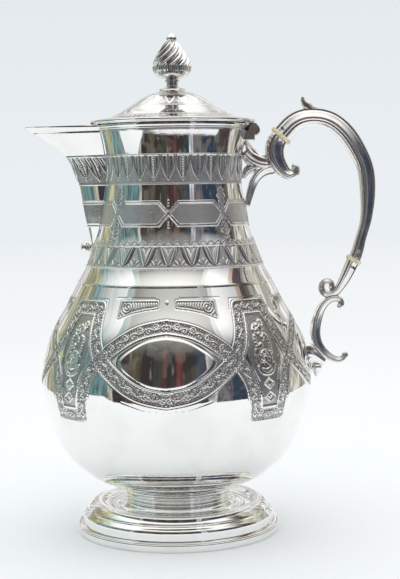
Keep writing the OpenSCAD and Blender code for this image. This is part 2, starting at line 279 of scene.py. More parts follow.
# Outsides as [radius, height], from the top down
BODY = [
    [63.1, 161.4], [70.6, 147], [78.7, 132], [84.6, 113.5], [87, 97], [84.2, 81],
    [79, 64.8], [71.3, 50.9], [60.5, 40.6], [53, 35.6], [47, 34.4],
]
NECK = [
    [48.6, 256.9], [46.9, 252], [44.8, 243.8], [43.6, 235], [43.6, 224], [45, 213.5],
    [46.6, 204], [49, 193], [52.4, 184], [57, 171.9], [63.1, 161.4],
]
DOME = [
    [1.8, 283.2], [8.2, 283], [13, 281.8], [19, 279.2], [24.6, 275.6], [31.5, 271.4],
    [38.6, 267.8], [46, 265.4], [50, 264.4],
]
STEM = [[46.4, 34], [43, 31.2], [38.5, 29.4], [35, 27.6], [34.2, 26], [34.2, 20.2]]
FOOT = [
    [33, 20.2], [35, 20], [36.6, 18], [39.5, 16.9], [44, 17], [47.6, 18.4], [49.4, 19.8],
    [52.5, 20.2], [54.4, 19.8], [56.4, 18.4], [58.2, 16.4], [59.2, 15.2], [60.6, 13.6], [61.6, 12.5],
    [62, 11.2], [62, 9], [62, 6.4],
]
RIM_TOP, RIM_R, MOUTH_R = 261.5, 50.3, 46.4

NOSE_Z = [183, 190.5, 197.6, 204, 212, 216.5, 224, 230, 237, 242.4, 246, 249.6, 253.4, 256.9, 261.5]
NOSE_X = [53.6, 54.4, 56, 57.4, 58.8, 59.6, 60.8, 63.2, 65.6, 69, 73.2, 78.5, 83.8, 90.2, 96]
HALF_Z = [183, 190.5, 204, 224, 243, 256.9, 261.5]
HALF_Y = [3.5, 6.5, 9, 10.5, 13.5, 20, 21]


def fine_line(points, step=1.0):
    """The outline again, with evenly spaced rows about step apart."""
    length = np.linalg.norm(np.diff(np.asarray(points, float), axis=0), axis=1).sum()
    return spline(points, int(length / step) + 1)


def cut_line(points, low, high, step):
    """The stretch of an outline between two heights."""
    line = fine_line(points, 0.1)
    z = np.linspace(high, low, int(abs(high - low) / step) + 1)
    order = np.argsort(line[:, 1])
    return np.stack([np.interp(z, line[order, 1], line[order, 0]), z], 1)


NECK_FINE = fine_line(NECK, 0.25)


def neck_radius(z):
    return np.interp(z, NECK_FINE[::-1, 1], NECK_FINE[::-1, 0])


def signed_fold(place, pitch, middle=0.0):
    """How far each place is past the nearest of a row of places a pitch apart."""
    return (place - middle + pitch / 2) % pitch - pitch / 2


def fold(place, pitch, middle=0.0):
    return np.abs(signed_fold(place, pitch, middle))


def every_other(place, pitch):
    """Which places are nearest to an odd one in a row of places a pitch apart."""
    return np.floor((place + pitch / 2) / pitch) % 2 == 1


def arc_length(degrees, radius):
    return np.radians(degrees) * radius


def degrees_and_heights(line, cols):
    """Degrees from the front and the height for every place of a turned piece."""
    degrees = np.broadcast_to(360 * np.arange(cols)[None, :] / cols, (len(line), cols))
    return degrees, np.broadcast_to(line[:, 1:], (len(line), cols))


# ---------------------------------------------------------------- chased ornament

UNROLL_R = 82.0          # the belly's pattern is drawn on a cylinder of this radius
BODY_FINE = fine_line(BODY, 0.2)
BODY_RUN = np.concatenate([[0], np.cumsum(np.linalg.norm(np.diff(BODY_FINE, axis=0), axis=1))])


def unrolled(places):
    """[degrees from the front, height] on the belly as flat millimetres."""
    p = np.asarray(places, float)
    v = -np.interp(-p[:, 1], -BODY_FINE[:, 1], BODY_RUN)
    return np.stack([np.radians(p[:, 0]) * UNROLL_R, v], 1)


def inside(x, y, outline):
    """Which places lie within a closed outline."""
    hit = np.zeros(x.shape, bool)
    p = np.asarray(outline)
    for a, b in zip(p, np.roll(p, -1, 0)):
        crosses = (a[1] > y) != (b[1] > y)
        at = a[0] + (y - a[1]) * (b[0] - a[0]) / (b[1] - a[1] + 1e-12)
        hit ^= crosses & (x < at)
    return hit


def scrolling_foliage(offset, run, reach):
    """A waving stem with a curled leaf on each side in turn, between 0 and 1."""
    pitch = 5.2
    wave = reach * 0.34 * np.sin(TAU * run / (2 * pitch))
    stem = ridge(offset - wave, 0.5)
    turn = np.floor(run / pitch)
    side = 1 - 2 * (turn % 2)
    along = run - (turn + 0.5) * pitch
    across = offset + side * reach * 0.3
    radius = np.hypot(along, across)
    angle = np.arctan2(across, along * side)
    curl = 0.5 + 0.5 * np.cos(TAU * radius / 1.5 - angle)
    curl *= 1 - smoothstep(reach * 0.62, reach * 0.8, radius)
    leaf = 0.5 + 0.5 * np.cos(TAU * run / 1.7 + side * offset * 1.5)
    leaf *= smoothstep(0.3, 0.9, np.abs(offset - wave)) * 0.55
    return np.clip(np.maximum(np.maximum(stem, curl), leaf), 0, 1)


# The belly's pattern as (degrees from the middle of a panel, height). It repeats every quarter turn
UPPER_ARC = [
    (0, 139.3), (13, 135.5), (21.5, 128.6), (27, 122.4), (31.8, 115.4), (35.6, 106), (38, 85.3),
]
LOWER_ARC = [
    (0, 97), (11.6, 101), (22.2, 110.8), (27.6, 117.2), (31.8, 125), (35, 136), (36.9, 149.2),
]
MIRROR = [
    (0, 133.6), (9, 131.2), (15.2, 126.4), (19.4, 121.6), (20.4, 118.8), (19.2, 115.4),
    (14.4, 110), (8.6, 105.4), (0, 103),
]
COFFIN = [
    (45.2, 145), (40, 145), (37.9, 135), (37.2, 125), (37.6, 114), (40.4, 105), (41, 90), (45.2, 90),
]
SPANDREL = [(4.7, 154), (24.3, 153.7), (24.5, 144), (18, 147.4), (11, 149.4), (4.7, 150.4)]
STRIP_HALF = 4.5         # half the width of the foliage strips
QUARTER = 90.0
PLAIN_SINK = 0.35        # the belly's plain ground lies this far under its outline
DIAMONDS = (103.6, 95.7)
LOW_RULE = [(0, 89.6), (9, 91), (18, 95.5)]


def edge_lines(distance, width=0.42):
    """A raised line along an outline with a fine sunk line on each side of it."""
    return 0.34 * ridge(distance, width) - 0.16 * groove(np.abs(distance) - 0.85, 0.28)


def flat_point(degrees, height):
    return unrolled([(degrees, height)])[0]


def draw_strip(height, matt, x, y, arc, corner, clear, grit):
    """One strip of foliage with its edge lines, from the middle of a panel to the corner."""
    line = spline(unrolled(arc), 80)
    line = np.concatenate([[[-line[1, 0], line[1, 1]]], line, [[corner, line[-1, 1]]]])
    offset, run = strip_coordinates(x, y, line)
    distance = np.abs(offset)
    ground = (distance < STRIP_HALF - 1.3) & clear
    foliage = scrolling_foliage(offset, run, STRIP_HALF - 1.4)
    height = np.where(ground, -0.36 + 0.62 * foliage + 0.05 * grit, height)
    matt = np.where(ground, 0.85 - 0.8 * smoothstep(0.35, 0.75, foliage), matt)
    height = height + edge_lines(distance - STRIP_HALF + 0.3) * clear
    return height + 0.7 * edge_lines(distance - STRIP_HALF + 1.35, 0.3) * clear, matt


def coffin_scrolls(side, y):
    """The scrolls and diamonds in the tall panels between two mirrors, between 0 and 1."""
    cx, cy = flat_point(0, 119.3)
    tx, ty = flat_point(0, 134)
    curves = [
        spiral((cx, cy), 100, 1.7, 7.8, 0.8), spiral((cx - 1, cy), 250, 1.3, 4.6, 0.6),
        spiral((tx - 1.5, ty + 1), -60, 1.3, 5.6, 0.8), spiral((tx + 3.2, ty + 6), 200, 1.1, 3.6, 0.5),
        [[-4.5, cy + 5], [-5.5, cy + 10], [-2, ty + 2], [3, ty + 4]],
        [[5.5, cy + 3], [6, cy + 9], [4.4, ty - 2], [0.5, ty - 3]],
        [[-6, cy - 6], [-3.4, cy - 9.5], [0, cy - 10.5]],
        [[6, cy - 5], [3.8, cy - 9], [0, cy - 10.5]],
    ]
    scroll = np.zeros(side.shape)
    for curve in curves:
        away, along = distance_to(side, y, spline(curve, 40))
        width = 1.75 - 0.8 * along
        scroll = np.maximum(scroll, ridge(away, width) * (0.8 + 0.2 * np.cos(TAU * along * 9)))
    for low in DIAMONDS:
        x_middle, y_middle = flat_point(0, low)
        size = np.abs(side - x_middle) / 4.8 + np.abs(y - y_middle) / 3.9
        rim = 0.55 + 0.4 * ridge(size - 0.82, 0.14) - 0.5 * groove(size - 0.5, 0.09)
        scroll = np.maximum(scroll, (size < 1) * rim)
    return scroll


def draw_coffin(height, matt, x, y, side, corner, grit):
    """The tall panel between two mirrors: scrolls and diamonds on a hatched ground."""
    coffin = polyline(unrolled(COFFIN), 1.0)
    beyond = [[corner + 3, coffin[-1, 1]], [corner + 3, coffin[0, 1]]]
    field = inside(x, y, np.concatenate([coffin, beyond]))
    scroll = coffin_scrolls(side, y)
    hatch = 0.5 + 0.5 * np.cos(TAU * side / 1.25)
    height = np.where(field, -0.4 + 0.66 * scroll + 0.05 * grit + 0.05 * hatch, height)
    matt = np.where(field, 0.7 * (1 - smoothstep(0.2, 0.6, scroll)), matt)
    return height + edge_lines(distance_to(x, y, coffin)[0]) * 0.8, matt


def draw_spandrel(height, matt, x, y, grit):
    """The small swirled corner panel above a mirror."""
    spandrel = unrolled(SPANDREL)
    field = inside(x, y, spandrel)
    edge = distance_to(x, y, np.concatenate([spandrel, spandrel[:1]]))[0]
    heart = flat_point(20.6, 150.4)
    radius = np.hypot(x - heart[0], y - heart[1])
    swirl = 0.5 + 0.5 * np.cos(TAU * radius / 1.9 - np.arctan2(y - heart[1], x - heart[0]))
    carved = -0.3 + 0.5 * swirl * smoothstep(0.3, 1.1, edge) + 0.04 * grit
    height = np.where(field, carved, height)
    matt = np.where(field, 0.75 * (1 - swirl), matt)
    return height + 0.9 * edge_lines(edge, 0.36), matt


def belly_relief(angle, z):
    """Height of the chasing on the belly, and how matted each place is."""
    folded = fold(angle, QUARTER)
    places = unrolled(np.stack([folded.ravel(), z.ravel()], 1))
    x = places[:, 0].reshape(z.shape)
    y = places[:, 1].reshape(z.shape)
    matt = np.zeros(z.shape)
    grit = rng.normal(0, 1, z.shape)

    mirror = spline(unrolled(MIRROR), 70)
    mirror = np.concatenate([mirror, mirror[::-1] * [-1, 1]])
    within = inside(x, y, mirror)
    gap = distance_to(x, y, mirror)[0]
    height = np.where(within, 0.42 * smoothstep(0, 1.6, gap), -0.1 * (1 - smoothstep(0, 0.8, gap)))

    corner = flat_point(45.4, 0)[0]
    for arc in (UPPER_ARC, LOWER_ARC):
        height, matt = draw_strip(height, matt, x, y, arc, corner, ~within, grit)
    side = arc_length(signed_fold(angle, QUARTER, QUARTER / 2), UNROLL_R)
    height, matt = draw_coffin(height, matt, x, y, side, corner, grit)
    frame_line = unrolled([(math.degrees(corner / UNROLL_R), 154.6), (33.3, 154.6), (32.2, 148)])
    height -= 0.14 * groove(distance_to(x, y, frame_line)[0], 0.3)
    height, matt = draw_spandrel(height, matt, x, y, grit)

    rosette = flat_point(0, 153.3)
    away = np.hypot(x - rosette[0], y - rosette[1])
    height += 0.3 * ridge(away, 1.1) - 0.25 * groove(away, 0.3)
    height -= 0.16 * groove(z - 155.6, 0.28) * ((folded > 6) & (folded < 28))
    height -= 0.12 * groove(distance_to(x, y, unrolled(LOW_RULE))[0], 0.28)
    return height, matt


SUNK = -0.7              # so far down that the neck hides it
FRINGE_Z = 185.9
UPPER_TOP, UPPER_TIP = 241.6, 225.9
LOWER_TOP, LOWER_TIP = 185.2, 174.2


def upper_leaves(across, z, pitch, odd):
    """Pointed tongues that hang from a top line. across is millimetres from a tongue's middle."""
    down = np.clip((UPPER_TOP - z) / (UPPER_TOP - UPPER_TIP), 0, 1)
    half = pitch * 0.5 * (1 - down ** 2.3)
    edge = np.abs(across) - half
    on_leaf = (edge < 0) & (z < UPPER_TOP)
    rib = np.where(odd, 0.5 + 0.5 * np.cos(TAU * z / 1.45), 0.8)
    flutes = 0.5 + 0.5 * np.cos(TAU * across / (pitch * 0.24))
    bright_edge = ridge(edge + 0.5, 0.6)
    leaf = 0.02 + 0.16 * smoothstep(0, 1.4, -edge) * flutes + 0.4 * rib * ridge(across, 0.6)
    leaf += 0.42 * bright_edge
    behind = np.abs(np.abs(across) - pitch / 2)
    back = -0.3 + 0.3 * ridge(behind, 0.75) * (z > 228) * (0.6 + 0.4 * np.cos(TAU * z / 1.4))
    height = np.where(on_leaf, leaf, back)
    matt = np.where(on_leaf, (0.08 + 0.4 * (1 - flutes)) * (1 - bright_edge), 0.8)
    line = ridge(z - UPPER_TOP - 0.3, 0.62)
    height = np.maximum(height, 0.5 * line)
    height = np.maximum(height, 0.25 * ridge(z - 224.2, 0.5))
    return height, matt * (1 - 0.8 * line)


def lower_leaves(across, z, pitch):
    """A row of V-shaped leaves with small fans between them, under a scalloped fringe."""
    down = np.clip((LOWER_TOP - z) / (LOWER_TOP - LOWER_TIP), 0, 1)
    mid = pitch * 0.285 * (1 - down) ** 0.85
    width = pitch * 0.235 * np.sqrt(np.clip(1 - down ** 4, 0, 1)) * (0.72 + 0.28 * np.sqrt(down))
    petal = ridge(np.abs(across) - mid, width + 0.05) * (z < LOWER_TOP)
    crease = 0.3 * groove(np.abs(across) - mid, 0.3)
    fan_x = np.abs(across) - pitch / 2
    fan_z = z - LOWER_TIP - 0.2
    reach = np.hypot(fan_x, fan_z)
    rays = 0.5 + 0.5 * np.cos(9 * np.arctan2(fan_x, fan_z + 0.6))
    fan = rays * (reach < 5.4) * (fan_z > 0) * (1 - (reach / 5.6) ** 4)
    height = -0.34 + np.maximum(0.86 * petal - crease * petal, 0.6 * fan)
    matt = 0.85 - 0.85 * smoothstep(0.15, 0.45, np.maximum(petal, fan * 0.9))
    line = np.maximum(ridge(z - 185.6, 0.5), ridge(z - 172.6, 0.55))
    return np.maximum(height, 0.5 * line), matt * (1 - 0.8 * line)


def fringe(across, z, pitch):
    """Scallops that stand on the lower leaf band."""
    scallop = np.abs(np.cos(math.pi * across / pitch))
    top = 187.7 + 1.9 * scallop
    within = (z < top) & (z > FRINGE_Z)
    body = 0.1 + 0.28 * scallop * (1 - ((z - 186) / 4) ** 2)
    edge = 0.22 * ridge(z - top + 0.35, 0.4)
    return np.where(within, body + edge, SUNK), np.where(within, 0.35, 0.0)


STRAP_MID, STRAP_HALF_H, RIBBON = 205.6, 7.2, 1.15


def straps(from_cross, gap, leafy, z):
    """Two ribbons that cross in an X and part round a stippled panel.

    from_cross is millimetres from the nearest crossing, and gap the distance between crossings.
    """
    rise = np.abs(z - STRAP_MID)
    x = np.abs(from_cross)
    ribbon_path = np.array([[-1.2, -1.4], [0, 0], [6.2, STRAP_HALF_H], [gap / 2 + 3, STRAP_HALF_H]])
    away = distance_to(x, rise, ribbon_path)[0]
    ribbon = away < RIBBON
    panel = (x > 0.7) & (rise < STRAP_HALF_H) & ~ribbon & (rise < x * STRAP_HALF_H / 6.2 - 1.2)
    stipple = 0.5 + 0.5 * np.cos(TAU * x / 0.95) * np.cos(TAU * z / 0.95)
    height = np.full(z.shape, SUNK)
    height = np.where(panel, 0.12 + 0.07 * stipple, height)
    cord = 0.32 + 0.3 * ridge(away - RIBBON + 0.3, 0.34) - 0.12 * groove(away, 0.3)
    height = np.where(ribbon, cord, height)
    matt = np.where(panel, 0.95 - 0.35 * stipple, 0.0) + np.where(ribbon, 0.15, 0.0)
    beads = (0.5 + 0.5 * np.cos(TAU * (rise - 5) / 1.7)) * (rise > 4.1) * (rise < 9.3)
    beads = ridge(x, 0.85) * beads * ~leafy
    height = np.maximum(height, np.where(beads > 0.25, 0.5 * beads, SUNK))
    lobe = 3.2 * np.sqrt(np.clip(1 - ((rise - 10.6) / 5.6) ** 2, 0, 1))
    lobe *= 1 + 0.22 * np.cos(TAU * (rise - 10.6) / 4.2)
    on_leaf = leafy & (x < np.where(rise > 5, lobe, 1.3))
    vein = 0.5 + 0.5 * np.cos(TAU * (rise + 1.6 * x) / 2.3)
    leaf = 0.05 + 0.3 * vein + 0.35 * ridge(x, 0.5) + 0.25 * ridge(x - lobe + 0.4, 0.5)
    height = np.where(on_leaf, np.maximum(leaf, height), height)
    matt = np.where(on_leaf, 0.85 - 0.6 * vein, matt)
    return height, matt


PETALS, LID_DOTS = 16, 72


def lid_relief(angle, line):
    """Engraving on the lid: two stars of petals round the boss, and rings of dots near the edge."""
    r = np.broadcast_to(line[:, :1], angle.shape)
    height = np.zeros(r.shape)
    matt = np.zeros(r.shape)
    across = arc_length(signed_fold(angle, 360 / PETALS), r)
    for low, high, deep in ((8.8, 15.5, 0.7), (17, 27, 0.4)):
        t = np.clip((r - low) / (high - low), 0, 1)
        edge = np.abs(across) - math.pi * low / PETALS * (1 - t ** 1.6)
        star = (r > low) & (r < high)
        height = np.where(star, 0.2 * smoothstep(0.6, -0.6, edge) - 0.1, height)
        matt = np.where(star, deep * smoothstep(-0.2, 0.5, edge) * (1 - 0.7 * t), matt)
    for middle in (40.4, 46.2):
        dots = smoothstep(0.3, 0.75, 0.5 + 0.5 * np.cos(np.radians(angle) * LID_DOTS))
        dots = groove(r - middle, 0.75) * dots
        height -= 0.2 * dots
        matt = np.maximum(matt, dots)
    for middle in (38.9, 16.2, 28.4):
        line_here = groove(r - middle, 0.3)
        height -= 0.1 * line_here
        matt = np.maximum(matt, 0.4 * line_here)
    return height, matt


# ---------------------------------------------------------------- materials

def node(graph, kind, inputs=None, **settings):
    """A new shader node. Each of its inputs is a constant or the socket that feeds it."""
    made = graph.nodes.new("ShaderNode" + kind)
    for key, value in settings.items():
        setattr(made, key, value)
    for key, value in (inputs or {}).items():
        if isinstance(value, bpy.types.NodeSocket):
            graph.links.new(value, made.inputs[key])
        else:
            made.inputs[key].default_value = value
    return made


def material_graph(name, inputs):
    """A new material, its node graph, and its shader with some inputs set."""
    material = bpy.data.materials.new(name)
    material.use_nodes = True
    graph = material.node_tree
    graph.nodes.clear()
    shader = node(graph, "BsdfPrincipled", inputs)
    node(graph, "OutputMaterial", {"Surface": shader.outputs["BSDF"]})
    return material, graph, shader


def noise(graph, scale, detail=3.0, distortion=0.0):
    """Noise in the object's own space, with a grain of about 1 / scale metres.

    Three scales stretch the grain along the axes.
    """
    place = node(graph, "TexCoord").outputs["Object"]
    if isinstance(scale, tuple):
        place = node(graph, "Mapping", {"Vector": place, "Scale": scale}).outputs["Vector"]
        scale = 1.0
    inputs = {"Vector": place, "Scale": scale, "Detail": detail, "Distortion": distortion}
    return node(graph, "TexNoise", inputs).outputs["Fac"]


def span(graph, source, low, high, out_low=0.0, out_high=1.0):
    """source, moved from low..high to out_low..out_high."""
    inputs = {"Value": source, "From Min": low, "From Max": high, "To Min": out_low, "To Max": out_high}
    return node(graph, "MapRange", inputs).outputs["Result"]


def mix(graph, factor, a, b):
    """Colour a where factor is 0 and b where it is 1. Each is a colour or a socket."""
    made = node(graph, "Mix", {"Factor": factor}, data_type="RGBA")
    for name, value in (("A", a), ("B", b)):
        socket = [s for s in made.inputs if s.name == name and s.type == "RGBA"][0]
        if isinstance(value, tuple):
            socket.default_value = (*value, 1)
        else:
            graph.links.new(value, socket)
    return [s for s in made.outputs if s.type == "RGBA"][0]


def sum_up_to_one(graph, a, b):
    return node(graph, "Math", {0: a, 1: b}, operation="ADD", use_clamp=True).outputs[0]


def bump(graph, shader, height, strength):
    """Gives the shader fine relief up to 0.2 mm high."""
    inputs = {"Height": height, "Strength": strength, "Distance": 0.0002}
    graph.links.new(node(graph, "Bump", inputs).outputs["Normal"], shader.inputs["Normal"])


def silver(name, bright, tarnish, roughness, hollow_tarnish_and_shade=0.0, scratches=0.02):
    """Polished plate: fine scratches, thin cloudy tarnish, and dark matting where it is chased.

    The setting after roughness is how far hollows that carry no matting of their own are darkened
    towards a near-black tarnish: partly tarnish, partly painted shade.
    """
    material, graph, shader = material_graph(name, {"Metallic": 1.0})
    cloud = span(graph, noise(graph, 38, 4, 0.6), 0.42, 0.72)
    clouded = tuple(0.9 * b + 0.1 * t for b, t in zip(bright, tarnish))
    base = mix(graph, cloud, bright, clouded)
    matting = node(graph, "Attribute", attribute_name="matting").outputs["Fac"]
    speck = span(graph, noise(graph, 900, 2), 0.35, 0.65, 0.6, 1.0)
    hollows = node(graph, "Math", {0: matting, 1: speck}, operation="MULTIPLY").outputs[0]
    colour = mix(graph, hollows, base, tarnish)
    if hollow_tarnish_and_shade > 0:
        # Painted shade: places that curve inwards are darkened by their curvature alone, partly as
        # tarnish, partly as painted shade.
        hollowness = node(graph, "NewGeometry").outputs["Pointiness"]
        sunk = span(graph, hollowness, 0.50, 0.44, 0.0, hollow_tarnish_and_shade)
        colour = mix(graph, sunk, colour, tuple(0.4 * part for part in tarnish))
        hollows = sum_up_to_one(graph, hollows, sunk)
    graph.links.new(colour, shader.inputs["Base Color"])
    wear = span(graph, noise(graph, 160, 4), 0.3, 0.75, roughness * 0.6, roughness * 1.5)
    rough = span(graph, hollows, 0, 1, 0, 0.65)
    graph.links.new(sum_up_to_one(graph, wear, rough), shader.inputs["Roughness"])
    bump(graph, shader, noise(graph, (260, 260, 4200), 2.0), scratches)
    return material


def ivory():
    """Old ivory: cream, with fine grain lines and brownish stains."""
    material, graph, shader = material_graph("ivory_material", {
        "Subsurface Weight": 0.15, "Subsurface Radius": (0.002, 0.0015, 0.001),
    })
    lines = span(graph, noise(graph, (300, 1500, 1500), 4.0), 0.35, 0.7)
    colour = mix(graph, lines, (0.78, 0.70, 0.50), (0.60, 0.50, 0.31))
    stain = span(graph, noise(graph, 260, 3), 0.5, 0.75, 0, 0.6)
    colour = mix(graph, stain, colour, (0.42, 0.31, 0.17))
    graph.links.new(colour, shader.inputs["Base Color"])
    graph.links.new(span(graph, lines, 0, 1, 0.28, 0.42), shader.inputs["Roughness"])
    bump(graph, shader, lines, 0.08)
    return material


BRIGHT = (0.95, 0.945, 0.925)
TARNISH = (0.27, 0.26, 0.255)
SILVERS = {              # bright colour, tarnish, roughness, darkening of hollows (partly tarnish, partly painted shade), scratches
    "silver_bright": (BRIGHT, TARNISH, 0.035),
    "silver_chased": ((0.94, 0.935, 0.92), (0.68, 0.68, 0.685), 0.08, 0.6),
    "silver_wire": (BRIGHT, TARNISH, 0.05, 0.4),
    "silver_cast": ((0.94, 0.92, 0.90), (0.20, 0.17, 0.155), 0.17, 0.5, 0.06),
    "silver_finial": ((0.95, 0.94, 0.92), (0.24, 0.23, 0.22), 0.09, 0.5),
    "silver_hinge": ((0.74, 0.72, 0.70), (0.14, 0.13, 0.13), 0.34, 0.5, 0.08),
    "silver_screw": ((0.70, 0.68, 0.65), (0.15, 0.13, 0.12), 0.2, 0.5, 0.1),
}
MATERIALS = {slot: silver(slot + "_material", *looks) for slot, looks in SILVERS.items()}
MATERIALS["ivory"] = ivory()


def give_material(obj, slot):
    obj.data.materials.clear()
    obj.data.materials.append(MATERIALS[slot])


def finish_piece(objs, body, slot, *nodes):
    """Gives pieces the material of their slot, puts them under their body, and hides the CAD nodes they
    stand for.
    """
    for obj in objs if isinstance(objs, list) else [objs]:
        give_material(obj, slot)
        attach(obj, body)
        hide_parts(*nodes)


# ---------------------------------------------------------------- camera, floor and light

def make_camera():
    """Level with the rim, a little round to the handle's side, seen through a long lens."""
    distance, height = 0.880, 0.2222
    azimuth, pitch, yaw, roll = (math.radians(a) for a in (4.3, 4.32, 1.04, 0.78))
    data = bpy.data.cameras.new("camera")
    data.sensor_width = 36.0
    data.lens = 84.94
    camera = bpy.data.objects.new("camera", data)
    bpy.context.scene.collection.objects.link(camera)
    forward = Vector((-math.sin(azimuth), math.cos(azimuth), 0))
    right = Vector((math.cos(azimuth), math.sin(azimuth), 0))
    level = forward * math.cos(yaw) + right * math.sin(yaw)
    right = right * math.cos(yaw) - forward * math.sin(yaw)
    aim = level * math.cos(pitch) - Vector((0, 0, 1)) * math.sin(pitch)
    up = right.cross(aim)
    side = right * math.cos(roll) - up * math.sin(roll)
    up = up * math.cos(roll) + right * math.sin(roll)
    place = Matrix((side, up, -aim)).transposed().to_4x4()
    place.translation = (distance * math.sin(azimuth), -distance * math.cos(azimuth), height)
    camera.matrix_world = place
    bpy.context.scene.camera = camera


# The floor's colours are painted light: brightest near the jug and fading with distance.
NEAR_FLOOR_PAINTED_LIGHT, MIDDLE_FLOOR_PAINTED_LIGHT, FAR_FLOOR_PAINTED_LIGHT = (0.945, 0.98, 1.0), (0.865, 0.888, 0.905), (0.785, 0.82, 0.855)
HORIZON, UPPER_BACKDROP = (0.83, 0.87, 0.905), (0.745, 0.79, 0.825)
# The table's edge as (degrees from the front, distance), round by the handle and back by the spout
TABLE_EDGE = [
    (0, 400), (20, 405), (40, 425), (60, 470), (75, 520), (85, 500), (100, 460), (120, 600),
    (150, 900), (180, 1000), (-150, 900), (-120, 600), (-100, 460), (-88, 520), (-80, 1000),
    (-56, 1000), (-50, 560), (-44, 430), (-20, 405),
]
TABLE_RISE = 0.05


def make_floor():
    """A pale floor painted brighter near the jug and darker far off, as painted light, and the white
    table top that the silver reflects.
    """
    radii = [1, 200, 500, 1000, 2000, 4000, 8000, 16000, 40000]
    cols = 96
    angles = TAU * np.arange(cols) / cols
    p = np.stack([np.outer(radii, np.cos(angles)), np.outer(radii, np.sin(angles)),
                  np.zeros((len(radii), cols))], -1)
    floor = mesh_object("floor", p.reshape(-1, 3), grid_faces(len(radii), cols, False, True))
    matt_surface = {"Roughness": 0.9, "Specular IOR Level": 0.0}
    material, graph, shader = material_graph("floor_material", matt_surface)
    place = node(graph, "TexCoord").outputs["Object"]
    distance = node(graph, "VectorMath", {0: place}, operation="LENGTH").outputs["Value"]
    # Painted light: the floor's colour is brightest near the jug, making up for the jug's shade there,
    # and darkens with distance.
    painted_floor_light = mix(graph, span(graph, distance, 0.25, 1.2), NEAR_FLOOR_PAINTED_LIGHT, MIDDLE_FLOOR_PAINTED_LIGHT)
    painted_floor_light = mix(graph, span(graph, distance, 1.2, 5.0), painted_floor_light, FAR_FLOOR_PAINTED_LIGHT)
    graph.links.new(painted_floor_light, shader.inputs["Base Color"])
    floor.data.materials.append(material)
    floor.visible_glossy = False

    corners = [[reach * math.sin(math.radians(turn)), -reach * math.cos(math.radians(turn)), TABLE_RISE]
               for turn, reach in TABLE_EDGE]
    table = mesh_object("table_top", corners, [list(range(len(corners)))])
    table.data.materials.append(material)
    table.visible_camera = False
    table.visible_diffuse = False
    table.visible_shadow = False


def stripes(graph, source, stops):
    """Upright stripes of colour from -180 to 180 degrees. Each stop is (where it starts, colour)."""
    made = node(graph, "ValToRGB", {"Fac": source})
    made.color_ramp.interpolation = "CONSTANT"
    elements = made.color_ramp.elements
    while len(elements) > 1:
        elements.remove(elements[-1])
    for k, (degrees, colour) in enumerate(stops):
        at = (degrees + 180) / 360
        element = elements[0] if k == 0 else elements.new(at)
        element.position = at
        element.color = (*colour, 1)
    return made.outputs["Color"]


WHITE, CEILING, WARM_CEILING = (1.0, 1.0, 1.0), (0.30, 0.31, 0.295), (0.86, 0.85, 0.82)
OLIVE, TEAL, PALE_TEAL = (0.62, 0.62, 0.40), (0.15, 0.29, 0.31), (0.24, 0.42, 0.44)
DARK, RED, NAVY = (0.035, 0.03, 0.03), (0.12, 0.035, 0.032), (0.022, 0.05, 0.095)
BROWN, GREY, CREAM = (0.075, 0.05, 0.05), (0.17, 0.16, 0.19), (0.72, 0.71, 0.62)
LOW_STRIPES = [
    (-180, WHITE), (-138, OLIVE), (-112, PALE_TEAL), (-80, DARK), (-78, TEAL), (-56, CREAM),
    (-52, DARK), (-40, (0.06, 0.055, 0.035)), (-34, (0.11, 0.09, 0.06)), (-28, DARK),
    (-16, (0.05, 0.06, 0.05)), (-9, RED), (-5, DARK), (4, (0.15, 0.05, 0.045)), (9, DARK),
    (20, (0.03, 0.05, 0.08)), (30, (0.75, 0.77, 0.85)), (37, GREY), (52, NAVY),
    (80, (0.07, 0.09, 0.11)), (86, BROWN), (106, CREAM), (136, (0.6, 0.6, 0.5)), (142, WHITE),
]
HIGH_STRIPES = [
    (-180, WHITE), (-135, (0.75, 0.73, 0.5)), (-112, WHITE), (-62, (0.42, 0.52, 0.52)), (-54, CEILING),
    (48, (0.7, 0.7, 0.68)), (54, WHITE), (88, (0.8, 0.6, 0.5)), (93, (0.10, 0.09, 0.10)),
    (112, (0.6, 0.58, 0.45)), (128, WHITE),
]


def calculate(graph, operation, *values):
    return node(graph, "Math", dict(enumerate(values)), operation=operation).outputs[0]


def scaled_pair(graph, around, rise, across, up):
    """A texture place from the direction looked in, stretched across and up."""
    x = calculate(graph, "MULTIPLY", around, across)
    y = calculate(graph, "MULTIPLY", rise, up)
    return node(graph, "CombineXYZ", {0: x, 1: y}).outputs[0]


def room(graph, around, rise):
    """The dim colours of a room round the jug, up to a pale ceiling."""
    place = scaled_pair(graph, around, rise, 90, 0.07)
    streaks = node(graph, "TexNoise", {"Vector": place, "Scale": 1.0, "Detail": 4.0}).outputs["Fac"]
    low = stripes(graph, around, LOW_STRIPES)
    low = mix(graph, span(graph, streaks, 0.32, 0.62, 0, 0.75), low, DARK)
    low = mix(graph, span(graph, streaks, 0.64, 0.74, 0, 0.35), low, CREAM)
    place = scaled_pair(graph, around, rise, 44, 0.16)
    blocks = node(graph, "TexVoronoi", {"Vector": place, "Scale": 1.0}, distance="CHEBYCHEV")
    tone = node(graph, "SeparateXYZ", {0: blocks.outputs["Color"]}).outputs["X"]
    low = mix(graph, span(graph, tone, 0.5, 0.95, 0, 0.5), low, (0.20, 0.18, 0.15))
    seen = mix(graph, span(graph, rise, 26, 50), low, stripes(graph, around, HIGH_STRIPES))
    seen = mix(graph, span(graph, rise, 44, 60), seen, WARM_CEILING)
    return mix(graph, span(graph, rise, 60, 72), seen, WHITE)


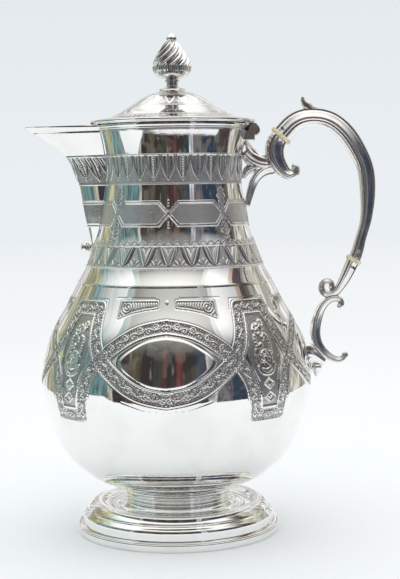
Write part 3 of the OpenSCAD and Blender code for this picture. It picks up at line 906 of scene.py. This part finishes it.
def make_world():
    """A white studio with soft light all round, and a dim room that only the silver reflects."""
    world = bpy.data.worlds.new("world")
    bpy.context.scene.world = world
    world.use_nodes = True
    graph = world.node_tree
    graph.nodes.clear()
    direction = node(graph, "TexCoord").outputs["Generated"]
    axes = node(graph, "SeparateXYZ", {0: direction}).outputs
    turn = calculate(graph, "ARCTAN2", axes["X"], calculate(graph, "MULTIPLY", axes["Y"], -1))
    around = calculate(graph, "ADD", calculate(graph, "DIVIDE", turn, TAU), 0.5)
    rise = calculate(graph, "MULTIPLY", calculate(graph, "ARCSINE", axes["Z"]), 180 / math.pi)
    path = node(graph, "LightPath").outputs
    backdrop = mix(graph, span(graph, rise, -1, 13), HORIZON, UPPER_BACKDROP)
    seen = mix(graph, path["Is Camera Ray"], room(graph, around, rise), backdrop)
    seen = mix(graph, path["Is Diffuse Ray"], seen, (0.88, 0.88, 0.88))
    strength = span(graph, path["Is Camera Ray"], 0, 1, 1.25, 1.0)
    background = node(graph, "Background", {"Color": seen, "Strength": strength})
    node(graph, "OutputWorld", {"Surface": background.outputs[0]})


make_camera()
make_floor()
make_world()
bpy.context.scene.view_settings.view_transform = "Standard"


# ---------------------------------------------------------------- turned pieces

CHASED_LOW, CHASED_HIGH, SEAM_Z = 78, 160, 161.35
FLOOR_Z = 34.1
PLAIN_COLS = 512
SPOUT_BEARING = 270      # degrees from the front


def plain_turned(name, line, relief=None):
    """A turned sheet whose relief is the same all the way round."""
    if relief is not None:
        relief = np.repeat(relief[:, None], PLAIN_COLS, 1)
    return turned(name, line, PLAIN_COLS, relief)


def make_body():
    cols = 1280
    line = cut_line(BODY, CHASED_LOW, CHASED_HIGH, 0.42)
    height, matt = belly_relief(*degrees_and_heights(line, cols))
    chased = turned("body_chased", line, cols, height - PLAIN_SINK, matt, split=4)
    finish_piece(chased, "jug", "silver_bright", "body")
    top = cut_line(BODY, CHASED_HIGH, SEAM_Z, 0.15)
    lower = fine_line(BODY, 1.2)
    lower = lower[lower[:, 1] < CHASED_LOW - 0.6]
    lower = np.concatenate([cut_line(BODY, CHASED_LOW - 0.3, CHASED_LOW, 0.3), lower])
    top = top - normals_2d(top) * PLAIN_SINK
    lower = lower - normals_2d(lower) * PLAIN_SINK
    lower = np.concatenate([lower, [[30, FLOOR_Z], [0.05, FLOOR_Z]]])
    finish_piece(plain_turned("body_seam_edge", top), "jug", "silver_bright", "body")
    finish_piece(plain_turned("body_lower", lower), "jug", "silver_bright", "body")


def make_neck():
    line = cut_line(NECK, 161.5, 256.8, 0.6)
    relief = np.full(len(line), -0.02)
    relief[-2:] = -0.12, -0.4
    finish_piece(plain_turned("neck_wall", line, relief), "jug", "silver_bright", "neck")


def draw_upper(angle, z, radius):
    pitch = 12.0
    across = arc_length(signed_fold(angle, pitch), radius)
    return upper_leaves(across, z, arc_length(pitch, 44), every_other(angle, pitch))


def draw_strap(angle, z, radius):
    pitch = 45.0
    across = arc_length(signed_fold(angle, pitch), radius)
    return straps(across, arc_length(pitch, 45.8), every_other(angle, pitch), z)


def draw_lower(angle, z, radius):
    leaf_pitch, scallop_pitch = 15.0, 6.0
    across = arc_length(signed_fold(angle, leaf_pitch), radius)
    height, matt = lower_leaves(across, z, arc_length(leaf_pitch, 54))
    across = arc_length(signed_fold(angle, scallop_pitch), radius)
    ruff, ruff_matt = fringe(across, z, arc_length(scallop_pitch, 50.6))
    above = z > FRINGE_Z
    return np.where(above, ruff, height), np.where(above, ruff_matt, matt)


def make_bands():
    """The three ornamental bands that stand on the neck, each left open where the spout is."""
    bands = [
        ("upper_leaves", 223.6, 242.6, 0.32, 1440, draw_upper, "upper_leaf_band"),
        ("straps", 189.6, 222.2, 0.4, 960, draw_strap, "strap_band"),
        ("lower_leaves", 172, 190.2, 0.32, 1440, draw_lower, "lower_leaf_band"),
    ]
    for name, low, high, step, cols, draw, cad_node in bands:
        line = cut_line(NECK, low, high, step)
        angle, z = degrees_and_heights(line, cols)
        radius = line[:, :1]
        height, matt = draw(angle, z, radius)
        grit = 0.02 * rng.normal(0, 1, height.shape) * (matt > 0.3)
        height = np.clip(height + grit, SUNK, 0.58)
        spout_half = np.degrees(np.interp(z, HALF_Z, HALF_Y) / radius)
        height = np.where(fold(angle, 360, SPOUT_BEARING) < spout_half * 0.9, SUNK, height)
        band = turned(name, line, cols, height, matt, wall=0.9, split=2)
        finish_piece(band, "jug", "silver_chased", cad_node)


def make_foot():
    wire = np.concatenate([
        [[59.6, 6.3], [62.6, 6.36], [63.3, 6.2]], bead(64.0, 5.1, 0.9, 7),
        [[64.9, 4.2], [64.95, 3], [64.95, 1.6], [64.7, 0.6], [64.3, 0.15], [64.0, 0.0], [59.6, 0.0]],
    ])
    finish_piece(lathe("base_wire_ring", wire), "jug", "silver_wire", "base_wire")
    line = fine_line(FOOT, 0.45)
    r = line[:, 0]
    rings = 0.3 * groove(r - 49.6, 0.5) - 0.2 * groove(r - 41.5, 0.4)
    rings -= 0.3 * groove(r - 53.6, 0.35) + 0.3 * groove(r - 58.9, 0.35)
    finish_piece(plain_turned("foot_skirt", line, rings - 0.05), "jug", "silver_bright", "foot")
    line = fine_line(STEM, 0.25)
    reeds = sum(0.9 * ridge(line[:, 1] - z, 0.95) for z in (21.2, 23.4, 25.6)) * (line[:, 0] < 35.6)
    finish_piece(plain_turned("foot_stem_wall", line, reeds), "jug", "silver_bright", "foot_stem")


def make_lid():
    line = fine_line(DOME, 0.4)
    cols = 576
    height, matt = lid_relief(degrees_and_heights(line, cols)[0], line)
    cover = turned("lid_cover", line, cols, height - 0.25, matt)
    finish_piece(cover, "lid", "silver_bright", "lid_dome")
    edge = np.concatenate([
        [[45.1, 263.1], [49.7, 263.2], [50.1, 264.38], [51.0, 264.38]], bead(51.75, 263.35, 1.02),
        [[51.9, 262.2], [51.6, 261.84], [45.1, 261.84]],
    ])
    finish_piece(lathe("lid_edge_ring", edge), "lid", "silver_wire", "lid_edge")


BORE = 1.8               # the radius of the hole for the stud, all through the finial
CALYX_Z, FLAME_Z, TIP_Z = 290.7, 298.6, 314.2


def finial_part(name, outer, relief, sharp, cad_node, hole=BORE):
    """A part of the finial from its outside, drawn upwards, with relief on it."""
    cols = relief.shape[1]
    loop = np.concatenate([outer[::-1], [[hole, outer[0, 1]], [hole, outer[-1, 1]]]])
    relief = np.concatenate([relief[::-1], np.zeros((2, cols))])
    finish_piece(lathe(name, loop, cols, sharp, relief), "lid", "silver_finial", cad_node)


def make_finial():
    base = [
        [BORE, 290.45], [4.0, 290.45], [4.6, 290.0], [4.75, 289.4], [4.4, 288.7], [3.7, 288.1],
        [3.55, 287.3], [3.7, 286.3], [4.3, 285.5], [5.4, 284.9], [7.6, 284.45], [8.4, 284.1],
        [8.55, 283.75], [8.2, 283.35], [BORE, 283.3],
    ]
    finish_piece(lathe("finial_foot", base, 128, 35), "lid", "silver_finial", "finial_base")

    outer = spline([[4.3, CALYX_Z], [8.6, 292.1], [11.4, 294.7], [12.3, 298.5]], 40)
    angle = TAU * np.arange(384) / 384
    share = (outer[:, 1:] - CALYX_Z) / (outer[-1, 1] - CALYX_Z)
    leaf = np.sqrt(np.abs(np.cos(angle * 4)))
    swell = (0.55 * leaf - 0.35) * smoothstep(0.1, 0.6, share)
    veins = 0.12 * np.cos(angle * 48) * smoothstep(0.3, 0.8, share)
    finial_part("finial_cup", outer, swell + veins, 60, "finial_calyx")

    flutes, twist = 11, 6.0          # degrees of turn for each millimetre up
    outer = spline([
        [12.1, FLAME_Z], [12, 301.2], [10.5, 304.9], [8.3, 308.4], [6.2, 311.6], [4, TIP_Z],
    ], 110)
    angle = TAU * np.arange(528) / 528
    wave = np.cos(flutes * (angle - np.radians(twist) * (outer[:, 1:] - FLAME_Z)))
    depth = 0.115 * outer[:, :1] + 0.12
    ribs = depth * (np.abs(wave) ** 0.7 * np.sign(wave) - 1) * 0.75
    finial_part("finial_spiral", outer, ribs, 70, "finial_flame")

    outer = spline([
        [2.3, TIP_Z + 0.1], [3.3, 315.2], [3.45, 316.3], [2.7, 317.9], [1.4, 319.2], [0.05, 319.98],
    ], 30)
    angle = TAU * np.arange(96) / 96
    lobes = 0.1 * (np.cos(angle * 6) - 1) * ridge(outer[:, 1:] - 316.4, 2.2)
    finial_part("finial_bud", outer, lobes, 60, "finial_tip", hole=0.05)


# ---------------------------------------------------------------- spout and rim

def spout_side(z, inwards, count=90):
    """The spout's wall at height z as x, y, from the +Y side round the nose to the -Y side."""
    nose = np.interp(z, NOSE_Z, NOSE_X) - inwards
    half = np.interp(z, HALF_Z, HALF_Y) - inwards
    i = np.linspace(-1, 1, 2 * count + 1)
    t = 1 - np.abs(i)
    x = -42 - (nose - 42) * (1 - (1 - t) ** 1.5)
    y = -np.sign(i) * half * (1 - t) ** 0.9
    shown = 0.12 if inwards == 0 else -0.5
    push = np.maximum(1, (neck_radius(z) + shown) / np.hypot(x, y))
    return np.stack([x * push, y * push], 1)


def spout_ornament(run, z):
    """The neck's bands carried on round the spout. run is millimetres from the nose."""
    pitch, small_pitch = 9.2, 7
    height = np.zeros(run.shape)
    matt = np.zeros(run.shape)
    upper = upper_leaves(signed_fold(run, pitch), z, pitch, every_other(run, pitch))
    strap, strap_matt = straps(np.abs(run) + 9, 60, np.zeros(run.shape, bool), z)
    lower = lower_leaves(signed_fold(run, small_pitch), z, small_pitch)
    zones = [
        ((z > 223.8) & (z < 242.5), upper),
        (np.abs(z - STRAP_MID) < STRAP_HALF_H + RIBBON, (np.maximum(strap, 0), strap_matt)),
        (z < FRINGE_Z, lower),
    ]
    for zone, (raised, dark) in zones:
        height = np.where(zone, raised, height)
        matt = np.where(zone, dark, matt)
    return np.clip(height, -0.3, 0.5), matt


def make_spout():
    heights = np.linspace(256.7, 183.2, 230)
    outer = np.stack([spout_side(z, 0) for z in heights])
    inner = np.stack([spout_side(z, WALL) for z in heights])
    rows, cols = outer.shape[:2]
    z = np.repeat(heights[:, None], cols, 1)
    gaps = np.linalg.norm(np.diff(outer, axis=1), axis=2)
    run = np.concatenate([np.zeros((rows, 1)), np.cumsum(gaps, 1)], 1)
    run -= run[:, -1:] / 2
    height, matt = spout_ornament(run, z)
    front = np.dstack([outer, z])
    front = front + grid_normals(front, False) * height[:, :, None]
    ring = np.concatenate([front, np.dstack([inner, z])[:, ::-1]], 1)
    faces = grid_faces(rows, 2 * cols, False, True).tolist()
    last = (rows - 1) * 2 * cols
    for k in range(cols - 1):
        opposite = 2 * cols - 1 - k
        faces.append([k, k + 1, opposite - 1, opposite])
        faces.append([last + k + 1, last + k, last + opposite, last + opposite - 1])
    marks = np.concatenate([matt, np.zeros(matt.shape)], 1)
    piece = mesh_object("spout_wall", ring.reshape(-1, 3), faces, {"matting": marks})
    piece.data.set_sharp_from_angle(angle=math.radians(60))
    finish_piece(piece, "jug", "silver_bright", "spout")


def lip_radius(angles, z, circle, inwards):
    """Distance from the axis to the rim's outline in each direction, round mouth and spout alike."""
    side = spout_side(z, inwards, 400)
    reach = np.hypot(side[:, 0], side[:, 1])
    bearing = np.arctan2(side[:, 1], -side[:, 0])
    order = np.argsort(bearing)
    from_nose = np.arctan2(np.sin(angles), -np.cos(angles))
    spout = np.interp(from_nose, bearing[order], reach[order], left=0, right=0)
    return np.maximum(circle, spout)


def make_rim():
    """The wire round the mouth and the spout's lip, with most of its columns round the lip."""
    near = np.radians(np.concatenate([np.linspace(-26, 26, 520), np.linspace(26, 334, 620)[1:-1]]))
    angles = np.sort((math.pi + near) % TAU)
    outside = [
        (0, RIM_TOP - 0.02), (0.45, 261.2), (0.62, 260.6), (0.5, 259.9), (0.05, 259.45), (-0.15, 259.2),
        (-0.2, 258.7), (-0.75, 258.4), (-0.95, 258.0), (-0.95, 257.6), (-0.75, 257.2), (-1.5, 256.95),
    ]
    inside_edge = [(0, 256.95), (0, RIM_TOP - 0.3), (0.3, RIM_TOP - 0.02)]
    rings = [(lip_radius(angles, z, RIM_R - 0.6, -0.5) + out, z) for out, z in outside]
    rings += [(lip_radius(angles, z, MOUTH_R + out, 2.2), z) for out, z in inside_edge]
    rows = []
    for r, z in rings:
        rows.append(np.stack([r * np.cos(angles), r * np.sin(angles), np.full(len(angles), z)], 1))
    grid = np.stack(rows)
    lo, hi = (np.array(c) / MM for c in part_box("rim_moulding"))
    grid[..., 0] = np.clip(grid[..., 0], lo[0], hi[0])
    faces = grid_faces(len(rings), len(angles), True, True)
    piece = mesh_object("rim_wire", grid.reshape(-1, 3), faces)
    piece.data.set_sharp_from_angle(angle=math.radians(38))
    finish_piece(piece, "jug", "silver_wire", "rim_moulding")


DROP_X = -57.4


def make_drop():
    outline = spline([
        [0.05, 180.3], [1.8, 180.8], [3.2, 182.2], [3.5, 183.9], [2.9, 185.7], [1.5, 187.1],
        [0.05, 187.3],
    ], 30)[::-1]
    angle = TAU * np.arange(96) / 96
    lobes = 0.12 * (np.cos(angle * 8) - 1) * np.ones((len(outline), 1))
    piece = lathe("spout_bead", outline, 96, 60, lobes)
    verts = np.array([v.co for v in piece.data.vertices]) + np.array([DROP_X, 0, 0]) * MM
    piece.data.vertices.foreach_set("co", verts.ravel())
    finish_piece(piece, "jug", "silver_wire", "spout_drop")


# ---------------------------------------------------------------- handle

def rounded(across=1.0):
    """A plain oval section as [outwards, sideways], round from the outer edge."""
    return [[math.cos(a), across * math.sin(a)] for a in np.linspace(0, math.pi, 25)]


# Half of the handle's section, from its outer edge to its inner edge: a moulding over a slanting flank
CREASED = [
    [1, 0], [0.98, 0.26], [0.88, 0.58], [0.7, 0.84], [0.48, 0.97], [0.3, 0.96], [0.2, 0.84],
    [0.12, 0.84], [-0.15, 0.72], [-0.5, 0.5], [-0.72, 0.34], [-0.8, 0.27], [-0.88, 0.31],
    [-0.95, 0.22], [-1, 0],
]
CREASES = [[0.2, 0.8], [-0.78, 0.3]]


def sweep(name, mid, depth, half_section, along, blunt, ribs):
    """A bar of oval or creased section along a middle line in the XZ plane, with rounded ends.

    half_section is [outwards, sideways] in half depths. blunt is how far the ends taper, in half
    depths. ribs is how far seven ridges stand out along the bar, as a share of its depth.
    """
    path = spline(mid, along)
    depths = spline(np.stack([np.linspace(0, 100, len(depth)), depth], 1), along)[:, 1] / 2
    d = np.gradient(path, axis=0)
    d /= np.linalg.norm(d, axis=1)[:, None]
    out = np.stack([d[:, 1], -d[:, 0]], 1)
    run = np.concatenate([[0], np.cumsum(np.linalg.norm(np.diff(path, axis=0), axis=1))])
    for from_end, at in ((run, 0), (run[-1] - run, -1)):
        inner = np.clip(1 - from_end / (blunt * depths[at] + 1e-6), 0, 1)
        depths = depths * np.maximum(np.sqrt(1 - inner ** 2), 0.02)
    half = spline(half_section, 33)
    half = half[np.concatenate([[True], np.linalg.norm(np.diff(half, axis=0), axis=1) > 1e-4])]
    ring = np.concatenate([half, half[-2:0:-1] * [1, -1]])
    around = len(ring)
    swell = 1 + ribs * np.cos(7 * np.arctan2(ring[:, 1], ring[:, 0]))
    a = depths[:, None] * ring[:, 0] * swell
    b = depths[:, None] * ring[:, 1] * swell
    p = np.stack([path[:, :1] + out[:, :1] * a, b, path[:, 1:] + out[:, 1:] * a], -1)
    flat = p.reshape(-1, 3)
    count = len(flat)
    flat = np.concatenate([flat, p[0].mean(0)[None], p[-1].mean(0)[None]])
    faces = grid_faces(along, around, False, True).tolist()
    for k in range(around):
        m = (k + 1) % around
        faces.append([count, k, m])
        faces.append([count + 1, count - around + m, count - around + k])
    dark = np.zeros(around)
    if half_section is CREASED:
        for crease in CREASES:
            away = np.hypot(ring[:, 0] - crease[0], np.abs(ring[:, 1]) - crease[1])
            dark = np.maximum(dark, groove(away, 0.07))
    marks = np.concatenate([np.tile(dark, along), [0, 0]])
    piece = mesh_object(name, flat, faces, {"matting": marks})
    turn_outward(piece)
    piece.data.set_sharp_from_angle(angle=math.radians(60))
    return piece


NECK_INSULATOR, FOOT_INSULATOR = [69.1, 253.6], [114.8, 174]
TUBE_MID = [
    NECK_INSULATOR, [70.9, 255.6], [76, 260.8], [82.8, 264.4], [90.2, 265.2], [98.4, 263.7],
    [106.5, 258.7], [113, 251.3], [118.4, 242.2], [122.2, 232.7], [123.7, 221.5], [123.6, 209],
    [122, 196.9], [119, 186.6], [116.1, 176.8], FOOT_INSULATOR,
]
TUBE_DEPTH = [12.4, 12.2, 12, 11.5, 11.6, 11.5, 11.3, 11, 10.8, 10.6, 10, 8.7, 7.5, 6.9, 7.4, 8]
UPPER_SCROLL = [
    NECK_INSULATOR, [67.2, 251.5], [65, 246.4], [64.9, 241.5], [66.6, 236.6], [69.6, 232],
    [73.4, 229], [77, 229.6], [77.8, 232.6], [75.4, 233.6],
]
UPPER_SCROLL_DEPTH = [12, 12, 12.3, 12.2, 11.4, 10.2, 8.8, 7.4, 6.4, 5.8]
LOWER_SCROLL = [
    FOOT_INSULATOR, [113.4, 171.2], [109.8, 163.6], [105.8, 156.6], [102.4, 152.8],
    [98.4, 151.8], [95, 153.8], [94.4, 157.6], [96.8, 160.2], [100, 159.4], [100.6, 156.8],
    [98.8, 156],
]
LOWER_SCROLL_DEPTH = [8.8, 8.4, 7.9, 7.2, 6.2, 5.4, 5, 4.6, 4.2, 4, 3.8, 4]
C_SCROLL = [
    [103.8, 144.4], [106.4, 145], [106.2, 147.8], [102, 149.3], [97.4, 147.2], [93, 141.2],
    [90.7, 134], [90, 126.2], [91.6, 120], [95.6, 114.4], [101, 110.6], [105.8, 109.8],
    [108.8, 112], [108.6, 115],
]
C_SCROLL_DEPTH = [4.2, 4, 4.4, 5, 5.8, 6.4, 6.6, 6.6, 6.3, 5.9, 5.2, 4.6, 4.2, 4]
LEG = [[66, 234], [58, 231.8], [53, 227.2], [49.6, 219.6], [46.8, 208.6]]
LOBE = [[63.4, 236], [56, 236.6], [51, 239], [45.6, 244.4]]
LEAF_UP = [[56, 237.4], [52, 241.6], [48.6, 246.2], [46.6, 251]]
LEAF_DOWN = [[55, 234.6], [50.6, 233.8], [47, 231.4], [44.8, 226.6]]
LEAF_DEPTH = [4, 5.4, 4.4, 1.6]
THUMB = [[92.4, 270.6], [88.6, 270.9], [85.4, 272.8], [83.5, 275.8], [82.9, 278.6]]
MOUNT = [[81, 113.4], [87.6, 113], [92.4, 110.2], [96.4, 107.8]]
DROP = [[90.8, 107.6], [90.7, 104.4], [90.5, 101.4], [90.4, 98.7]]


def make_handle():
    bars = [
        ("handle_grip", TUBE_MID, TUBE_DEPTH, CREASED, 420, 0.12, 0.0, "handle_tube"),
        ("handle_upper_curl", UPPER_SCROLL, UPPER_SCROLL_DEPTH, CREASED, 260, 0.3, 0.0, "upper_scroll"),
        ("handle_lower_curl", LOWER_SCROLL, LOWER_SCROLL_DEPTH, CREASED, 260, 0.3, 0.0, "lower_scroll"),
        ("body_c_curl", C_SCROLL, C_SCROLL_DEPTH, CREASED, 300, 1.0, 0.0, "c_scroll"),
        ("neck_leg", LEG, [9.6, 7.6, 5.8, 4.8, 3.4], CREASED, 140, 0.8, 0.0, "upper_bracket"),
        ("neck_lobe", LOBE, [9, 10, 10, 6], rounded(1.1), 120, 1.0, 0.08, "upper_bracket"),
        ("neck_leaf_up", LEAF_UP, LEAF_DEPTH, rounded(1.6), 90, 1.0, 0.12, "upper_bracket"),
        ("neck_leaf_down", LEAF_DOWN, LEAF_DEPTH, rounded(1.6), 90, 1.0, 0.12, "upper_bracket"),
        ("thumb_rest", THUMB, [1.4, 4.2, 5.6, 4.0, 1.2], rounded(0.7), 90, 1.0, 0.0, "thumb_leaf"),
        ("body_mount", MOUNT, [18, 15, 10, 5], rounded(0.6), 100, 0.6, 0.03, "lower_mount"),
        ("body_mount_drop", DROP, [7, 6.4, 4.4, 1.2], rounded(), 60, 0.8, 0.0, "lower_mount"),
    ]
    for name, *shape, cad_node in bars:
        finish_piece(sweep(name, *shape), "jug", "silver_cast", cad_node)
    pucks = [
        ("neck_insulator", NECK_INSULATOR, 42, 7.5, 7.0, "upper_insulator"),
        ("foot_insulator", FOOT_INSULATOR, 31, 5.2, 5.0, "lower_insulator"),
    ]
    for name, at, tilt, length, width, cad_node in pucks:
        finish_piece(puck(name, at, tilt, length, width, 1.3), "jug", "ivory", cad_node)


def puck(name, at, tilt, length, width, half):
    """A round-edged oval disc at [x, z], tilted about Y. Its three sizes are half sizes."""
    cols = 96
    t = TAU * np.arange(cols) / cols
    edge = np.radians(np.linspace(88, -88, 13))
    rows = [(0.02, 1.0), (0.5, 1.0), (0.8, 1.0)]
    rows += [(0.93 + 0.07 * math.cos(e), math.sin(e)) for e in edge]
    rows += [(0.8, -1.0), (0.5, -1.0), (0.02, -1.0)]
    p = np.array([[[share * length * math.cos(a), share * width * math.sin(a), rise * half] for a in t]
                  for share, rise in rows])
    c, s = math.cos(math.radians(tilt)), math.sin(math.radians(tilt))
    turned_over = np.stack([p[..., 0] * c + p[..., 2] * s + at[0], p[..., 1],
                            -p[..., 0] * s + p[..., 2] * c + at[1]], -1)
    piece = mesh_object(name, turned_over.reshape(-1, 3), grid_faces(len(rows), cols, True, True))
    turn_outward(piece)
    return piece


def make_escutcheon():
    """The pointed plate under the handle's foot. It follows the belly and stands 1 mm off it."""
    rows, cols = 26, 160
    middle_z, half_height, half_width = 115, 17, 9
    share = np.linspace(1.0, 0.01, rows)
    t = TAU * np.arange(cols) / cols
    z = middle_z + half_height * np.outer(share, np.cos(t))
    y = half_width * np.outer(share, np.sin(t) * np.abs(np.sin(t)))
    r = np.interp(z, BODY_FINE[::-1, 1], BODY_FINE[::-1, 0])
    share = share[:, None]
    rise = 1.02 * (1 - share ** 8) * (0.8 + 0.2 * np.abs(np.cos(3 * t)))
    rise = rise - 0.3 * groove(share - 0.8, 0.06)
    front = np.stack([np.sqrt((r + rise) ** 2 - y ** 2), y, z], -1)
    behind = np.stack([np.sqrt((r - 0.5) ** 2 - y ** 2), y, z], -1)[::-1]
    grid = np.concatenate([front, behind])
    piece = mesh_object("body_plate", grid.reshape(-1, 3), grid_faces(2 * rows, cols, True, True))
    turn_outward(piece)
    finish_piece(piece, "jug", "silver_wire", "escutcheon")


def finish_cad_pieces():
    """The CAD pieces whose shape is already right get their finish."""
    kept = {
        "silver_hinge": ["hinge_bracket", "hinge_pin", "lid_hinge_leaf", "upper_rivets",
                         "lower_rivets"],
        "silver_screw": ["finial_stud", "finial_washer", "finial_nut"],
        "silver_wire": ["lid_bezel"],
    }
    for slot, names in kept.items():
        for name in names:
            give_material(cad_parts[name], slot)


make_body()
make_neck()
make_bands()
make_foot()
make_lid()
make_finial()
make_spout()
make_rim()
make_drop()
make_handle()
make_escutcheon()
finish_cad_pieces()
